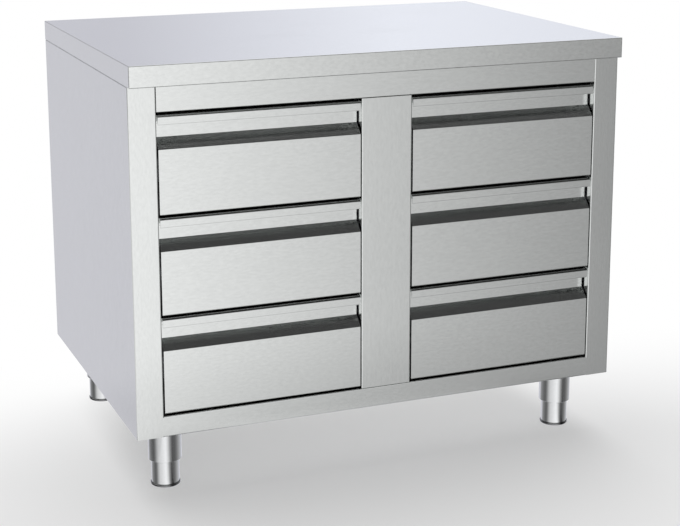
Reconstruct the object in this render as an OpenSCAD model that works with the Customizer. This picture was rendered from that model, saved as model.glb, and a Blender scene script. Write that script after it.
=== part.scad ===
// Stainless steel work table with six drawers in two columns, on four adjustable legs.
// Millimetres. X runs along the front, Y goes in from the front, Z is up.
// The origin is on the floor, under the middle of the worktop.

/* [Table] */
// Width of the worktop and of the cabinet under it
table_w = 1000; // [900:10:1400]
// Depth of the worktop
table_d = 700; // [640:10:800]
// Height of the cabinet, without its legs and the worktop
cabinet_h = 660; // [600:5:760]
// Height of the worktop's turned-down edge
edge_h = 40; // [34:1:60]
// Height from the floor to the cabinet's underside, feet wound in
leg_h = 126; // [116:1:160]
// How far the worktop stands out past the drawer fronts
front_overhang = 15; // [8:1:30]
// How far the cabinet's back stays inside the worktop's back edge
back_inset = 2; // [2:0.5:20]

/* [Sheet metal] */
// Sheet of the worktop
top_t = 1.2; // [0.8:0.1:2]
// Sheet of the cabinet's panels, rails and runner plates
panel_t = 1.2; // [0.8:0.1:2]
// Sheet of the drawer fronts
front_t = 1.2; // [0.8:0.1:1.5]
// Sheet of the drawer boxes
box_t = 1; // [0.8:0.1:1.5]
// Radius on the inside of every fold
fold_r = 0.8; // [0.4:0.1:1.5]
// Radius on the worktop's ground corners and edges
edge_r = 2; // [1:0.5:4]
// Width of the lip that the worktop's edge turns in
top_lip_w = 30; // [25:1:40]
// Width of the flanges that join the panels
flange_w = 20; // [16:1:28]

/* [Worktop core] */
// Thickness of the board glued under the worktop
board_t = 18; // [10:1:20]
// Width of a stiffening channel's crown
channel_w = 50; // [30:1:80]
// Width of each glued foot of a stiffening channel
channel_foot_w = 20; // [12:1:30]
// Sheet of the stiffening channels
channel_t = 1.2; // [0.8:0.1:2]
// Distance between two stiffening channels
channel_pitch = 200; // [160:5:220]
// Gap at the ends of the board and the channels
core_gap = 0.5; // [0.2:0.1:2]

/* [Front frame] */
// Width of the stiles at the left and right
stile_w = 52; // [40:1:70]
// Width of the post between the two columns of drawers
post_w = 103; // [80:1:140]
// Height of the rail under the drawers
bottom_rail_h = 40; // [30:1:60]
// Height of the rail over the drawers
top_rail_h = 48; // [30:1:70]
// How far the frame's edges turn in round each opening
frame_return_d = 14; // [10:1:20]
// Depth of the flanges by which the stiles and the bottom rail join the panels
lap_d = 28; // [22:1:40]
// Depth of the top rail's upper flange, under the worktop's lip
top_lap_d = 42; // [30:1:60]
// Open seam at the ends of the top rail and of the post
seam = 0.5; // [0.2:0.1:1]

/* [Drawer fronts] */
// Gap over, between and under the drawer fronts
front_gap = 5; // [3:0.5:8]
// Gap beside each drawer front
front_side_gap = 2.5; // [1.5:0.5:5]
// Clear height of the finger grip
grip_h = 45; // [30:1:60]
// Depth of the finger grip
grip_d = 20; // [16:1:26]
// Height of the lip that hangs over the grip
grip_lip_h = 14; // [8:1:25]
// Height of the bevel over that lip
grip_bevel = 4; // [2:0.5:8]
// Height of the front's inner edge, against the drawer box
front_hem_h = 30; // [8:1:40]

/* [Drawer boxes] */
// Length of a drawer box from front to back
box_len = 560; // [450:5:600]
// Height of a drawer box
box_h = 150; // [110:1:155]
// Height of a drawer box's underside over the bottom of its front
box_lift = 14; // [5:1:20]
// Width of the rim that a drawer box's sides turn out
box_rim_w = 6; // [3:0.5:8]

/* [Runners] */
// Length of the closed runners
runner_len = 550; // [400:10:580]
// Room that a runner takes between its plate and the drawer box
runner_w = 12.7; // [12:0.1:14]
// Height of the fixed runner member
runner_h = 45; // [40:1:50]
// Sheet of the runner members
runner_t = 1.2; // [1:0.1:1.4]
// Width of the fixed member's flanges
fixed_flange_w = 9.5; // [9:0.1:10.5]
// Height of the lips that keep the balls in the fixed member
fixed_lip_h = 2.4; // [1.5:0.1:2.4]
// Room for the rows of balls between two members
ball_room = 3; // [2.6:0.1:3.5]
// Running gap between the backs of two members
runner_gap = 1.1; // [1:0.1:1.3]
// Sheet of the retainers that hold the balls apart
cage_t = 0.4; // [0.3:0.1:0.5]
// Balls in each row of a retainer
ball_count = 6; // [3:1:9]
// Height of the runner's middle line over the bottom of the drawer front
runner_z = 80; // [60:1:110]
// Distance from the back of a drawer front to the runner
runner_setback = 1; // [0.5:0.5:8]
// Radius of the rivets that hold the runner members
runner_rivet_r = 2; // [1.5:0.1:2.5]

/* [Legs] */
// Diameter of the leg sleeve
sleeve_dia = 64; // [60:1:70]
// Wall of the leg sleeve
sleeve_t = 1.5; // [1:0.1:2]
// How far the sleeve reaches down from the cabinet's underside
sleeve_h = 75; // [65:1:90]
// Diameter of the adjustable foot's tube
foot_dia = 54; // [48:1:55]
// Wall of the adjustable foot's tube
foot_t = 1.5; // [1:0.1:2]
// Diameter of the foot's base
foot_base_dia = 57; // [57:1:66]
// Thickness of the foot's base
foot_base_h = 5; // [4:0.5:8]
// Diameter of the foot's threaded stem
stem_dia = 16; // [12:1:20]
// How far a foot winds out
foot_travel = 45; // [20:1:50]
// Distance from the table's side to a leg's axis
leg_inset_x = 75; // [72:1:110]
// Distance from the worktop's front edge to a front leg's axis
leg_inset_front = 100; // [96:1:140]
// Distance from the worktop's back edge to a back leg's axis
leg_inset_back = 96; // [88:1:140]
// Side of the square plate on top of each leg
leg_plate_w = 98; // [90:1:100]
// Thickness of that plate
leg_plate_t = 3; // [2:0.5:5]
// Distance between two screws in the plate
leg_screw_pitch = 76; // [70:1:80]
// Diameter of those screws
leg_screw_dia = 8; // [6:1:8]

/* [Hidden] */
// Names of the drawer rows from the top, of the columns and of the table's ends
ROWS = ["top", "middle", "bottom"];
SIDES = ["left", "right"];
ENDS = ["front", "back"];
COLOUR_STEEL = [0.78, 0.79, 0.80];
COLOUR_DRAWER = [0.72, 0.73, 0.74];
COLOUR_ZINC = [0.62, 0.64, 0.66];
COLOUR_POLISHED = [0.86, 0.87, 0.88];
COLOUR_BOARD = [0.72, 0.58, 0.40];
COLOUR_NYLON = [0.16, 0.16, 0.17];
// Slope of the finger grip and of the lip's bevel
BEVEL = 45;

// Every node of the table, named for the row, the column or the corner where it stands
$fn = 64;
fold_steps = 4;
eps = 0.01;
cut = 1;

// Levels, and the planes of the cabinet
cabinet_z = leg_h;
top_z = cabinet_z + cabinet_h;
table_h = top_z + edge_h;
side_x = table_w / 2;
front_y = -table_d / 2 + front_overhang;
back_y = table_d / 2 - back_inset;
frame_inner_y = front_y + frame_return_d;
panel_back_y = back_y - 2 * panel_t;
floor_z = cabinet_z + 2 * panel_t;

// The two openings in the front frame
opening_w = (table_w - 2 * stile_w - post_w) / 2;
opening_x = (post_w + opening_w) / 2;
opening_z0 = cabinet_z + bottom_rail_h;
opening_z1 = top_z - top_rail_h;

// Drawer fronts
front_w = opening_w - 2 * front_side_gap;
front_h = (opening_z1 - opening_z0 - (len(ROWS) + 1) * front_gap) / len(ROWS);
front_pitch = front_h + front_gap;
face_h = front_h - grip_lip_h - grip_bevel - grip_h;

// Drawer boxes hang between the runner plates
plate_gap_w = opening_w + 2 * panel_t;
box_w = plate_gap_w - 2 * runner_w;
box_y = front_y + grip_d + front_t;

// Runner members nest in each other, with balls between their flanges
runner_y = box_y + runner_setback;
middle_h = runner_h - 2 * runner_t - 2 * ball_room;
inner_h = middle_h - 2 * runner_t - 2 * ball_room;
middle_from = runner_t + runner_gap;
middle_to = runner_w - runner_t - runner_gap;
inner_from = middle_from + runner_t + runner_gap;
runner_rivet_inset = 60;
flat_head_t = 0.2;

// Two retainers ride on each middle member: the outer one behind it, on its rear half, and the
// inner one in it, on its front half, so that their balls never leave the other members
cage_end_gap = 15;
cage_len = runner_len / 2 - 2 * cage_end_gap;
cage_back_gap = (runner_gap - cage_t) / 2;
cage_edge_gap = 0.4;
cage_ball_inset = 12;
ball_gap = 0.25;
ball_r = ball_room / 2 - ball_gap;

// Legs
leg_top_z = cabinet_z + panel_t;
sleeve_z = cabinet_z - sleeve_h;
plate_z = leg_top_z - leg_plate_t;
sleeve_inner_r = sleeve_dia / 2 - sleeve_t;
foot_end_gap = 5;
foot_top_z = plate_z - foot_end_gap;
boss_side_gap = 6;
boss_r = foot_dia / 2 - foot_t - boss_side_gap;
thread_hold = 20;
boss_z = foot_top_z - foot_travel - thread_hold;
guide_h = 12;
guide_clear = 0.3;
stem_clear = 0.08;
foot_bevel = 1;
screw_clear = 0.4;
hex_corner_share = 0.94;
hex_head_share = 0.65;
hex_nut_share = 0.8;
screw_head_h = hex_head_share * leg_screw_dia;
screw_head_r = hex_corner_share * leg_screw_dia;
screw_nut_h = hex_nut_share * leg_screw_dia;
screw_past_nut = 3;
screw_end_h = screw_nut_h + screw_past_nut;
notch_clear = 2;
plate_notch_h = screw_end_h + notch_clear;

// Rivets, with a dome on the outside and an upset end on the inside
rivet_r = 2;
rivet_head_r = 4;
rivet_crown_r = 2;
rivet_set_r = 3;
rivet_head_h = 1;
rivet_set_h = 0.6;
rivet_gap = 0.05;
back_rivet_count = 6;
back_rivet_margin = 50;

function unit(v) = v / norm(v);
function left_of(v) = [-v[1], v[0]];
function turned(v, a) = [v[0] * cos(a) - v[1] * sin(a), v[0] * sin(a) + v[1] * cos(a)];
function backwards(list) = [for (i = [len(list) - 1:-1:0]) list[i]];

// Where a leg, a column or a drawer row stands
function side_sign(s) = s == "left" ? -1 : 1;
function row_index(r) = search([r], ROWS)[0];
function front_z(r) = opening_z1 - (row_index(r) + 1) * front_pitch;
function column_x(s) = side_sign(s) * opening_x;
function leg_x(s) = side_sign(s) * (side_x - leg_inset_x);
function leg_y(e) = e == "front" ? -table_d / 2 + leg_inset_front : table_d / 2 - leg_inset_back;
function back_rivet_z(i) =
    cabinet_z + back_rivet_margin + i * (cabinet_h - 2 * back_rivet_margin) / (back_rivet_count - 1);
function runner_rivet_y(i) = runner_y + runner_rivet_inset + i * (runner_len / 2 - runner_rivet_inset);

// Round a fold at b between a and c. The sheet lies to the left of the path, and depth is 0 on
// its face and its thickness on its back, so both sides turn about one centre.
function fold_points(a, b, c, thick, depth) =
    let (u = unit(b - a), v = unit(c - b))
    let (turn = sign(u[0] * v[1] - u[1] * v[0]), angle = acos(u * v))
    let (face_r = turn > 0 ? fold_r + thick : fold_r)
    let (centre = b - u * face_r * tan(angle / 2) + turn * face_r * left_of(u))
    let (reach = face_r - turn * depth)
    [for (i = [0:fold_steps]) centre + reach * turned(-turn * left_of(u), turn * angle * i / fold_steps)];

// One side of a folded sheet from end to end of its path
function sheet_side(path, thick, depth) =
    let (n = len(path))
    let (first = path[0] + depth * left_of(unit(path[1] - path[0])))
    let (last = path[n - 1] + depth * left_of(unit(path[n - 1] - path[n - 2])))
    concat(
        [first],
        [for (i = [1:n - 2]) each fold_points(path[i - 1], path[i], path[i + 1], thick, depth)],
        [last]
    );

// Outline of a folded sheet whose face follows the path
module folded(path, thick) {
    polygon(concat(sheet_side(path, thick, 0), backwards(sheet_side(path, thick, thick))));
}

// Rectangle between two corners, with all four corners rounded
module rounded(low, high, r) {
    corners = [
        [high[0] - r, high[1] - r, 0],
        [low[0] + r, high[1] - r, 90],
        [low[0] + r, low[1] + r, 180],
        [high[0] - r, low[1] + r, 270]
    ];
    polygon([
        for (c = corners, i = [0:fold_steps])
            [c[0], c[1]] + r * turned([1, 0], c[2] + 90 * i / fold_steps)
    ]);
}

// Stretch an outline along X, where its own axes become Y and Z
module along_x(x0, x1) {
    translate([x0, 0, 0]) rotate([90, 0, 90]) linear_extrude(x1 - x0) children();
}

// Stretch an outline along Y, where its own axes become X and Z
module along_y(y0, y1) {
    translate([0, y1, 0]) rotate([90, 0, 0]) linear_extrude(y1 - y0) children();
}

// Stretch an outline upwards
module along_z(z0, z1) {
    translate([0, 0, z0]) linear_extrude(z1 - z0) children();
}

// Box between two corners
module block(low, high) {
    translate(low) cube(high - low);
}

// Folded tray of the worktop, with its edge turned down on four sides and in again under it
module worktop() {
    half = [side_x, table_d / 2];
    color(COLOUR_STEEL) difference() {
        intersection() {
            along_x(-side_x, side_x) rounded([-half[1], top_z], [half[1], table_h], edge_r);
            along_y(-half[1], half[1]) rounded([-side_x, top_z], [side_x, table_h], edge_r);
            along_z(top_z, table_h) rounded(-half, half, edge_r);
        }
        block(
            [-half[0] + top_t, -half[1] + top_t, top_z + top_t],
            [half[0] - top_t, half[1] - top_t, table_h - top_t]
        );
        block(
            [-half[0] + top_lip_w, -half[1] + top_lip_w, top_z - cut],
            [half[0] - top_lip_w, half[1] - top_lip_w, top_z + top_t + cut]
        );
    }
}

// Board glued under the worktop's sheet
module worktop_board() {
    x = side_x - top_t - core_gap;
    y = table_d / 2 - top_t - core_gap;
    z = table_h - top_t;
    color(COLOUR_BOARD) block([-x, -y, z - board_t], [x, y, z]);
}

// Three channels under the board, from side to side, their crowns on the worktop's lip
module worktop_channels() {
    x = side_x - top_t - core_gap;
    low = top_z + top_t;
    high = table_h - top_t - board_t;
    w = channel_w / 2;
    f = w + channel_foot_w;
    path = [[-f, high - channel_t], [-w, high - channel_t], [-w, low], [w, low],
        [w, high - channel_t], [f, high - channel_t]];
    color(COLOUR_ZINC) for (i = [-1:1])
        translate([0, i * channel_pitch, 0]) along_x(-x, x) folded(path, channel_t);
}

// Left side of the cabinet: one sheet with the stile and its return at the front, a flange
// at the back, and flanges at the top and the bottom
module side_panel() {
    path = [
        [-side_x + flange_w, back_y],
        [-side_x, back_y],
        [-side_x, front_y],
        [-side_x + stile_w, front_y],
        [-side_x + stile_w, frame_inner_y]
    ];
    difference() {
        intersection() {
            union() {
                along_z(cabinet_z, top_z) folded(path, panel_t);
                for (z = [cabinet_z, top_z - panel_t]) {
                    block([-side_x + eps, front_y + panel_t, z],
                        [-side_x + flange_w, back_y - panel_t, z + panel_t]);
                    block([-side_x + eps, front_y + panel_t, z],
                        [-side_x + stile_w - panel_t, front_y + lap_d, z + panel_t]);
                }
            }
            along_y(front_y - cut, back_y + cut)
                rounded([-side_x, cabinet_z], [0, top_z], panel_t + fold_r);
        }
        back_rivet_holes();
    }
}

module side_panel_left() {
    color(COLOUR_STEEL) side_panel();
}

module side_panel_right() {
    color(COLOUR_STEEL) mirror([1, 0, 0]) side_panel();
}

// Holes for the rivets in the left and the right edge of the back
module back_rivet_holes() {
    for (s = [-1, 1], i = [0:back_rivet_count - 1])
        translate([s * (side_x - flange_w / 2), back_y + cut, back_rivet_z(i)])
            rotate([90, 0, 0]) cylinder(r = rivet_r, h = 2 * panel_t + 2 * cut);
}

// Back of the cabinet, between the bends of the side panels and inside their flanges, with a
// flange at the top and the bottom
module back_panel() {
    x = side_x - panel_t - fold_r;
    inner_x = side_x - flange_w - seam;
    color(COLOUR_STEEL) difference() {
        union() {
            block([-x, panel_back_y, cabinet_z + panel_t], [x, back_y - panel_t, top_z - panel_t]);
            for (z = [cabinet_z, top_z - panel_t])
                block([-inner_x, panel_back_y - flange_w, z], [inner_x, back_y - panel_t, z + panel_t]);
        }
        back_rivet_holes();
    }
}

// Floor of the cabinet, resting on the bottom flanges, with its sides turned up
module floor_tray() {
    x = side_x - panel_t;
    z = cabinet_z + panel_t;
    path = [[-x, z + flange_w], [-x, z], [x, z], [x, z + flange_w]];
    color(COLOUR_STEEL) difference() {
        along_y(frame_inner_y + seam, panel_back_y) folded(path, panel_t);
        for (e = ENDS, s = SIDES)
            translate([leg_x(s), leg_y(e), z - cut]) leg_screw_holes(panel_t + 2 * cut);
    }
}

// Front rail that turns in at the top and the bottom
module front_rail(half_w, z, h, top_return, bottom_return) {
    path = [[front_y + top_return, z + h], [front_y, z + h], [front_y, z], [front_y + bottom_return, z]];
    color(COLOUR_STEEL) along_x(-half_w, half_w) folded(path, panel_t);
}

// Weld that fills the groove between the left stile's bend and the bottom rail, ground flush
module ground_weld() {
    corner = [-side_x + stile_w, front_y];
    bend = fold_points([-side_x, front_y], corner, [corner[0], frame_inner_y], panel_t, 0);
    r = panel_t + fold_r;
    color(COLOUR_STEEL) along_z(cabinet_z + r, opening_z0 - r)
        polygon(concat([corner + [eps, 0]], bend, [corner + [0, panel_t], corner + [eps, panel_t]]));
}

// Bottom rail, welded to both stiles
module bottom_rail() {
    front_rail(side_x - stile_w, cabinet_z, bottom_rail_h, frame_return_d, lap_d);
    ground_weld();
    mirror([1, 0, 0]) ground_weld();
}

module top_rail() {
    front_rail(side_x - stile_w - seam, opening_z1, top_rail_h, top_lap_d, frame_return_d);
}

// Post between the two openings
module centre_post() {
    x = post_w / 2;
    path = [[-x, frame_inner_y], [-x, front_y], [x, front_y], [x, frame_inner_y]];
    color(COLOUR_STEEL) along_z(opening_z0 + seam, opening_z1 - seam) folded(path, panel_t);
}

// Upright plate that carries three fixed runners on its +X face, which lies at x = 0. Its front
// edge laps the frame's return, and its top, bottom and back turn away from the drawers. Its
// foot is notched over the legs' screws.
module runner_plate() {
    z0 = floor_z;
    z1 = top_z - panel_t;
    tab_y = front_y + 2 * panel_t;
    y0 = frame_inner_y + seam;
    outline = [
        [y0, z0], [panel_back_y, z0], [panel_back_y, z1], [y0, z1],
        [y0, opening_z1 - 2 * seam], [tab_y, opening_z1 - 2 * seam],
        [tab_y, opening_z0 + 2 * seam], [y0, opening_z0 + 2 * seam]
    ];
    color(COLOUR_ZINC) difference() {
        union() {
            along_x(-panel_t, 0) polygon(outline);
            for (z = [z0, z1 - panel_t])
                block([-flange_w, y0, z], [-eps, panel_back_y, z + panel_t]);
            block([-flange_w, panel_back_y - panel_t, z0], [-eps, panel_back_y, z1]);
        }
        for (r = ROWS)
            translate([0, 0, front_z(r) + runner_z]) runner_rivet_holes();
        for (e = ENDS)
            block([-flange_w - cut, leg_y(e) - leg_plate_w / 2, z0 - cut],
                [cut, leg_y(e) + leg_plate_w / 2, z0 + plate_notch_h]);
    }
}

// Plate on the left or the right of a column
module placed_plate(s, hand) {
    translate([column_x(s), 0, 0]) mirror([hand > 0 ? 1 : 0, 0, 0])
        translate([-plate_gap_w / 2, 0, 0]) runner_plate();
}

// The outer plate stands by the side panel and the inner one by the post
function plate_hand(s, p) = (p == "outer" ? 1 : -1) * side_sign(s);

module runner_rivet_holes() {
    for (i = [0:2])
        translate([-panel_t - cut, runner_rivet_y(i), 0])
            rotate([0, 90, 0]) cylinder(r = runner_rivet_r, h = panel_t + runner_t + 2 * cut);
}

// Fixed runner member: a channel with lips that keep the balls in, its back on the plate at x = 0
module runner_fixed_member() {
    h = runner_h / 2;
    path = [
        [fixed_flange_w, h - runner_t - fixed_lip_h],
        [fixed_flange_w, h],
        [0, h],
        [0, -h],
        [fixed_flange_w, -h],
        [fixed_flange_w, -h + runner_t + fixed_lip_h]
    ];
    difference() {
        along_y(runner_y, runner_y + runner_len) folded(path, runner_t);
        runner_rivet_holes();
    }
}

// Middle runner member, inside the fixed one
module runner_middle_member() {
    h = middle_h / 2;
    path = [[middle_to, h], [middle_from, h], [middle_from, -h], [middle_to, -h]];
    along_y(runner_y, runner_y + runner_len) folded(path, runner_t);
}

// Ball retainer: a thin channel from y on, with a row of balls in each flange. Its back is at
// x0, its flanges end at x1 and the rows lie at z above and below the middle line.
module ball_cage(x0, x1, z, y) {
    h = z + cage_t / 2;
    pitch = (cage_len - 2 * cage_ball_inset) / (ball_count - 1);
    along_y(y, y + cage_len) folded([[x1, h], [x0, h], [x0, -h], [x1, -h]], cage_t);
    for (i = [0:ball_count - 1], side = [-1, 1])
        translate([(x0 + cage_t + x1) / 2, y + cage_ball_inset + i * pitch, side * z])
            sphere(r = ball_r, $fn = 20);
}

module outer_cage() {
    x1 = fixed_flange_w - runner_t - cage_edge_gap;
    y = runner_y + runner_len / 2 + cage_end_gap;
    ball_cage(runner_t + cage_back_gap, x1, (middle_h + ball_room) / 2, y);
}

module inner_cage() {
    x1 = middle_to - 2 * cage_edge_gap;
    y = runner_y + cage_end_gap;
    ball_cage(middle_from + runner_t + cage_back_gap, x1, (inner_h + ball_room) / 2, y);
}

// Drawer's runner member, inside the middle one, its back on the drawer box
module runner_inner_member() {
    h = inner_h / 2;
    path = [[inner_from, -h], [runner_w, -h], [runner_w, h], [inner_from, h]];
    difference() {
        along_y(runner_y, runner_y + runner_len) folded(path, runner_t);
        box_rivet_holes();
    }
}

// Holes through the drawer's runner member and the side of the drawer box
module box_rivet_holes() {
    for (i = [0:2])
        translate([runner_w - runner_t - cut, runner_rivet_y(i), 0])
            rotate([0, 90, 0]) cylinder(r = runner_rivet_r, h = runner_t + box_t + 2 * cut);
}

// Rivets in those holes, their heads in the member and their set ends in the drawer. They stand a
// hair off both sheets, so that each stays a solid of its own.
module box_rivets() {
    for (i = [0:2])
        translate([runner_w - runner_t, runner_rivet_y(i), 0]) rotate([0, 90, 0]) {
            translate([0, 0, -rivet_gap - rivet_head_h]) cylinder(r = rivet_head_r, h = rivet_head_h);
            translate([0, 0, -2 * rivet_gap])
                cylinder(r = runner_rivet_r - rivet_gap, h = runner_t + box_t + 4 * rivet_gap);
            translate([0, 0, runner_t + box_t + rivet_gap]) cylinder(r = rivet_set_r, h = rivet_set_h);
        }
}

// The same member on both sides of one drawer
module runner_pair(s, r) {
    translate([column_x(s), 0, front_z(r) + runner_z])
        for (hand = [0, 1])
            mirror([hand, 0, 0]) translate([-plate_gap_w / 2, 0, 0]) children();
}

module runner_fixed(s, r) {
    color(COLOUR_ZINC) runner_pair(s, r) runner_fixed_member();
}

module runner_middle(s, r) {
    color(COLOUR_ZINC) runner_pair(s, r) {
        runner_middle_member();
        outer_cage();
        inner_cage();
    }
}

module runner_inner(s, r) {
    color(COLOUR_ZINC) runner_pair(s, r) {
        runner_inner_member();
        box_rivets();
    }
}

// Rivets through the runner plates and the fixed members
module runner_rivets() {
    color(COLOUR_ZINC) for (s = SIDES, r = ROWS) runner_pair(s, r)
        for (i = [0:2]) translate([-panel_t, runner_rivet_y(i), 0]) rotate([0, 90, 0]) {
            cylinder(r = runner_rivet_r, h = panel_t + runner_t);
            translate([0, 0, -rivet_head_h]) cylinder(r = rivet_head_r, h = rivet_head_h);
            translate([0, 0, panel_t + runner_t]) cylinder(r = rivet_set_r, h = flat_head_t);
        }
}

// Drawer front: one sheet folded into the inner edge, the face, the sloping grip, the top and
// the hanging lip with its bevel, whose inner and outer faces bend b apart. Side flanges close
// the hollow behind the face up to the slope, and the grip's ends are open.
module drawer_front(s, r) {
    b = front_t * tan(BEVEL / 2);
    slope_top = face_h + grip_d;
    path = [
        [front_t, front_h - grip_bevel - grip_lip_h],
        [front_t, front_h - grip_bevel - b],
        [grip_bevel + b, front_h - front_t],
        [grip_d, front_h - front_t],
        [grip_d, slope_top],
        [0, face_h],
        [0, 0],
        [grip_d + front_t, 0],
        [grip_d + front_t, front_hem_h]
    ];
    m = front_t / 2;
    end_outline = [[m, m], [grip_d + m, m], [grip_d + m, slope_top - m], [m, face_h - m]];
    w = front_w / 2;
    color(COLOUR_DRAWER) translate([column_x(s), front_y, front_z(r)]) {
        along_x(-w, w) folded(path, front_t);
        for (x = [-w, w - front_t]) along_x(x, x + front_t) polygon(end_outline);
    }
}

// Drawer box: an open tray whose sides turn out into a rim over the runners
module drawer_box(s, r) {
    w = box_w / 2;
    path = [
        [-w - box_rim_w, box_h - box_t],
        [-w, box_h - box_t],
        [-w, 0],
        [w, 0],
        [w, box_h - box_t],
        [w + box_rim_w, box_h - box_t]
    ];
    color(COLOUR_DRAWER) difference() {
        translate([column_x(s), box_y, front_z(r) + box_lift]) {
            along_y(0, box_len) folded(path, box_t);
            for (y = [0, box_len - box_t])
                block([-w + box_t / 2, y, box_t / 2], [w - box_t / 2, y + box_t, box_h]);
        }
        runner_pair(s, r) box_rivet_holes();
    }
}

// Holes for the four screws of one leg, upwards from z = 0
module leg_screw_holes(h) {
    for (x = [-1, 1], y = [-1, 1])
        translate([x, y, 0] * leg_screw_pitch / 2)
            cylinder(r = leg_screw_dia / 2 + screw_clear, h = h);
}

// Leg: sleeve welded to its square plate
module leg(e, s) {
    color(COLOUR_POLISHED) translate([leg_x(s), leg_y(e), 0]) difference() {
        union() {
            along_z(plate_z, leg_top_z)
                rounded([-1, -1] * leg_plate_w / 2, [1, 1] * leg_plate_w / 2, leg_plate_t);
            rotate_extrude() polygon([
                [sleeve_inner_r, sleeve_z],
                [sleeve_dia / 2 - sleeve_t / 2, sleeve_z],
                [sleeve_dia / 2, sleeve_z + sleeve_t / 2],
                [sleeve_dia / 2, plate_z + eps],
                [sleeve_inner_r, plate_z + eps]
            ]);
        }
        translate([0, 0, plate_z - cut]) leg_screw_holes(leg_plate_t + 2 * cut);
    }
}

// Threaded boss in each sleeve, welded under the plate
module leg_bosses() {
    color(COLOUR_ZINC) for (e = ENDS, s = SIDES)
        translate([leg_x(s), leg_y(e), 0]) rotate_extrude() polygon([
            [stem_dia / 2 + stem_clear, boss_z],
            [boss_r, boss_z],
            [boss_r, plate_z],
            [stem_dia / 2 + stem_clear, plate_z]
        ]);
}

// Nylon ring at the mouth of each sleeve, which guides the foot
module leg_guide_rings() {
    color(COLOUR_NYLON) for (e = ENDS, s = SIDES)
        translate([leg_x(s), leg_y(e), 0]) rotate_extrude() polygon([
            [foot_dia / 2 + guide_clear, sleeve_z + foot_bevel],
            [sleeve_inner_r, sleeve_z + foot_bevel],
            [sleeve_inner_r, sleeve_z + foot_bevel + guide_h],
            [foot_dia / 2 + guide_clear, sleeve_z + foot_bevel + guide_h]
        ]);
}

// Adjustable foot: base, tube and threaded stem turned about one axis
module foot(e, s) {
    r = foot_dia / 2;
    base_r = foot_base_dia / 2;
    inner_r = r - foot_t;
    stem_r = stem_dia / 2;
    color(COLOUR_POLISHED) translate([leg_x(s), leg_y(e), 0]) rotate_extrude() polygon([
        [0, 0],
        [base_r - foot_bevel, 0],
        [base_r, foot_bevel],
        [base_r, foot_base_h - foot_bevel],
        [base_r - foot_bevel, foot_base_h],
        [r, foot_base_h],
        [r, foot_top_z],
        [inner_r, foot_top_z],
        [inner_r, foot_base_h],
        [stem_r, foot_base_h],
        [stem_r, foot_top_z],
        [0, foot_top_z]
    ]);
}

// Screws and nuts that hold the legs under the floor
module leg_screws() {
    color(COLOUR_ZINC) for (e = ENDS, s = SIDES, x = [-1, 1], y = [-1, 1])
        translate([leg_x(s), leg_y(e), 0] + [x, y, 0] * leg_screw_pitch / 2) {
            along_z(plate_z, floor_z + screw_end_h) circle(r = leg_screw_dia / 2);
            along_z(plate_z - screw_head_h, plate_z) circle(r = screw_head_r, $fn = 6);
            along_z(floor_z, floor_z + screw_nut_h) circle(r = screw_head_r, $fn = 6);
        }
}

// Rivets down the left and the right edge of the back
module back_rivets() {
    color(COLOUR_STEEL) for (s = [-1, 1], i = [0:back_rivet_count - 1])
        translate([s * (side_x - flange_w / 2), back_y, back_rivet_z(i)]) rotate([90, 0, 0])
            rotate_extrude() polygon([
                [0, -rivet_head_h],
                [rivet_crown_r, -rivet_head_h],
                [rivet_head_r, 0],
                [rivet_r, 0],
                [rivet_r, 2 * panel_t],
                [rivet_set_r, 2 * panel_t],
                [rivet_set_r, 2 * panel_t + rivet_head_h],
                [0, 2 * panel_t + rivet_head_h]
            ]);
}

worktop();
worktop_board();
worktop_channels();
side_panel_left();
side_panel_right();
back_panel();
floor_tray();
bottom_rail();
top_rail();
centre_post();
leg_bosses();
leg_guide_rings();
leg_screws();
back_rivets();
runner_rivets();
for (s = SIDES, p = ["outer", "inner"])
    placed_plate(s, plate_hand(s, p));
for (e = ENDS, s = SIDES) {
    leg(e, s);
    foot(e, s);
}
for (s = SIDES, r = ROWS) {
    drawer_front(s, r);
    drawer_box(s, r);
    runner_inner(s, r);
    runner_middle(s, r);
    runner_fixed(s, r);
}
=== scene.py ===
"""Looks of a stainless steel work table with six drawers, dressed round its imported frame.

Lengths are metres in the table's own frame: X runs along the front to the right, Y goes in from
the front, Z is up, and the origin is on the floor under the middle of the worktop.
"""
import logging
import math
from dataclasses import dataclass
from enum import Enum
from typing import ClassVar, Dict, Iterable, Tuple, Union

import bmesh
import bpy
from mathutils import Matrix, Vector

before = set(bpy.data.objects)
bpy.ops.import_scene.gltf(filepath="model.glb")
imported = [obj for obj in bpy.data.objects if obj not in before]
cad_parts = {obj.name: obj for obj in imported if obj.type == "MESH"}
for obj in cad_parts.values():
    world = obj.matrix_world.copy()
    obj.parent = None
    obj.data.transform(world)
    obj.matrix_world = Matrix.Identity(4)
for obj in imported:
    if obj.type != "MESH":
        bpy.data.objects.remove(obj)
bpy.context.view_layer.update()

LOG = logging.getLogger("work_table")

SIDES = ("left", "right")
ROWS = ("top", "middle", "bottom")
ENDS = ("front", "back")
MM = 0.001
WHITE = (1.0, 1.0, 1.0)
NOISE_MIDDLE = 0.5

Triple = Tuple[float, float, float]
Span = Tuple[float, float]
Socket = bpy.types.NodeSocket
Source = Union[Socket, float, Triple]


class Grain(Enum):
    """Direction in which a sheet was brushed."""

    ALONG_X = 0
    ALONG_Y = 1
    ALONG_Z = 2

    def stretch(self, along: float, across: float) -> Triple:
        """Gives the grain's waves per metre on the three axes.

        Args:
            along: Waves per metre along the brush lines.
            across: Waves per metre across them.

        Returns:
            One number per axis.
        """
        waves = [across, across, across]
        waves[self.value] = along
        return tuple(waves)


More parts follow.
